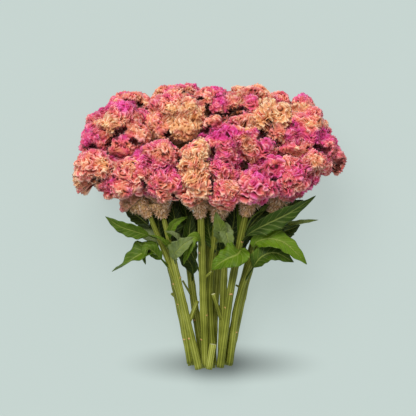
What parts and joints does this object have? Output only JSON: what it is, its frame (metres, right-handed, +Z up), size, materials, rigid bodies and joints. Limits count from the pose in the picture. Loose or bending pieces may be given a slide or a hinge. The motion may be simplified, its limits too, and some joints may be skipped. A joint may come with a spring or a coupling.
{
  "type": "bunch of cockscomb celosia",
  "caption": "Cut bunch of cockscomb celosia lying down: folded velvety combs in magenta, coral and peach on ribbed green stems with leaves.",
  "frame": {"origin": "on the surface the bunch lies on, under the middle of its box", "axes": "+Y from the stem ends to the heads, +Z up off the surface, +X to the right seen from above with the heads away"},
  "size_m": [0.3842, 0.4076, 0.1719],
  "materials": {
    "comb_magenta": "velvety, deeply ruffled",
    "comb_coral": "velvety, deeply ruffled",
    "comb_salmon": "velvety, deeply ruffled",
    "comb_peach": "velvety, deeply ruffled",
    "neck_florets": "dry, bristly",
    "stem": "ribbed, satin",
    "leaf": "soft satin, veined"
  },
  "bodies": {
    "root": {"crest_left_front": "comb_coral", "neck_left_front": "neck_florets", "stem_left_front": "stem", "crest_left_middle_front": "comb_magenta", "neck_left_middle_front": "neck_florets", "stem_left_middle_front": "stem", "crest_middle_tall": "comb_peach", "neck_middle_tall": "neck_florets", "stem_middle_tall": "stem", "crest_middle_low": "comb_coral", "neck_middle_low": "neck_florets", "stem_middle_low": "stem", "crest_right_middle_front": "comb_magenta", "neck_right_middle_front": "neck_florets", "stem_right_middle_front": "stem", "crest_right_front": "comb_salmon", "neck_right_front": "neck_florets", "stem_right_front": "stem", "crest_left_back": "comb_magenta", "neck_left_back": "neck_florets", "stem_left_back": "stem", "crest_left_middle_back": "comb_salmon", "neck_left_middle_back": "neck_florets", "stem_left_middle_back": "stem", "crest_centre": "comb_magenta", "neck_centre": "neck_florets", "stem_centre": "stem", "crest_top": "comb_salmon", "neck_top": "neck_florets", "stem_top": "stem", "crest_right_middle_back": "comb_peach", "neck_right_middle_back": "neck_florets", "stem_right_middle_back": "stem", "crest_right_back": "comb_coral", "neck_right_back": "neck_florets", "stem_right_back": "stem", "crest_under_left": "comb_coral", "neck_under_left": "neck_florets", "stem_under_left": "stem", "crest_under_middle": "comb_salmon", "neck_under_middle": "neck_florets", "stem_under_middle": "stem", "crest_under_right": "comb_magenta", "neck_under_right": "neck_florets", "stem_under_right": "stem", "stem_stub": "stem", "leaf_left_long": "leaf", "leaf_left_folded": "leaf", "leaf_left_high": "leaf", "leaf_left_leaflet": "leaf", "leaf_left_twisted": "leaf", "leaf_middle_small": "leaf", "leaf_middle_dark": "leaf", "leaf_front_crinkled": "leaf", "leaf_right_large": "leaf", "leaf_right_light": "leaf", "leaf_right_low": "leaf", "leaf_right_dark": "leaf", "leaf_middle_pale": "leaf", "leaf_under_long": "leaf"}
  },
  "joints": []
}
